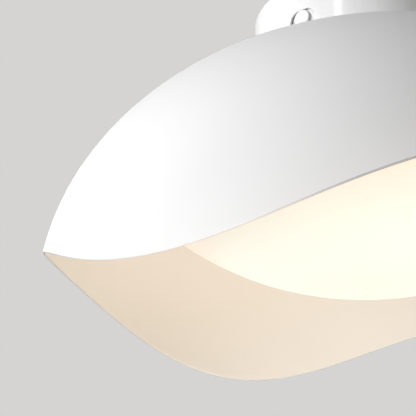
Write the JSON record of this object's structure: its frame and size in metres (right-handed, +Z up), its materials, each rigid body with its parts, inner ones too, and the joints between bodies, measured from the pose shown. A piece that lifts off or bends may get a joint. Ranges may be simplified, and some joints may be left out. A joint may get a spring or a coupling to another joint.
{
  "type": "flush mount ceiling light",
  "caption": "Flush mount ceiling light: a white dome shade with a smooth wavy, lobed rim around a shallow opal diffuser, hung from a short round canopy.",
  "frame": {"origin": "centre of the ceiling plane, in the middle of the mounting bracket's top face", "axes": "+Z up into the ceiling along the light's axis; +X towards one of the shade's low lobes; +Y away from the picture's camera, nearly"},
  "size_m": [0.3961, 0.3988, 0.2017],
  "materials": {
    "zinc_steel": "satin zinc plate",
    "white_plastic": "semi-gloss",
    "black_plastic": "matte",
    "green_screw": "satin",
    "white_gloss_paint": "semi-gloss powder coat",
    "white_satin_paint": "satin powder coat",
    "gasket_rubber": "matte white foam",
    "opal_acrylic": "satin opal, lit from inside",
    "bare_aluminium": "satin",
    "board_white": "matte",
    "chip_yellow": "semi-gloss",
    "brass": "satin",
    "black_lead": "satin",
    "red_lead": "satin",
    "green_lead": "satin"
  },
  "bodies": {
    "ceiling_bracket": {"mounting_bracket": "zinc_steel", "ear_nuts": "zinc_steel", "side_screws": "zinc_steel", "screw_caps": "white_plastic", "bracket_ground_screw": "green_screw"},
    "fixture": {"canopy": "white_gloss_paint", "shade": "white_satin_paint", "centre_tube": "zinc_steel", "tube_nuts": "zinc_steel", "toothed_washers": "zinc_steel", "tube_bushings": "black_plastic", "lamp_pan": "white_satin_paint", "bayonet_catches": "zinc_steel", "diffuser_gasket": "gasket_rubber", "standoffs": "zinc_steel", "heat_plate": "bare_aluminium", "plate_screws": "zinc_steel", "led_board": "board_white", "led_chips": "chip_yellow", "board_screws": "zinc_steel", "board_connector": "white_plastic", "driver": "white_plastic", "driver_screws": "zinc_steel", "terminal_block": "white_plastic", "clamp_screws": "brass", "block_screws": "zinc_steel", "ground_eyelet": "brass", "canopy_ground_screw": "green_screw", "supply_leads": "black_lead", "led_leads": "red_lead", "ground_lead": "green_lead"},
    "diffuser_cover": {"diffuser": "opal_acrylic"}
  },
  "joints": [
    {"name": "canopy_turn", "type": "hinge", "parent": "ceiling_bracket", "child": "fixture", "pos_m": [0, 0, 0], "axis": [0, 0, 1], "range_deg": [-2.5, 2.5]},
    {"name": "diffuser_twist", "type": "hinge", "parent": "fixture", "child": "diffuser_cover", "pos_m": [0, 0, -0.11], "axis": [0, 0, 1], "range_deg": [-20, 0]}
  ]
}
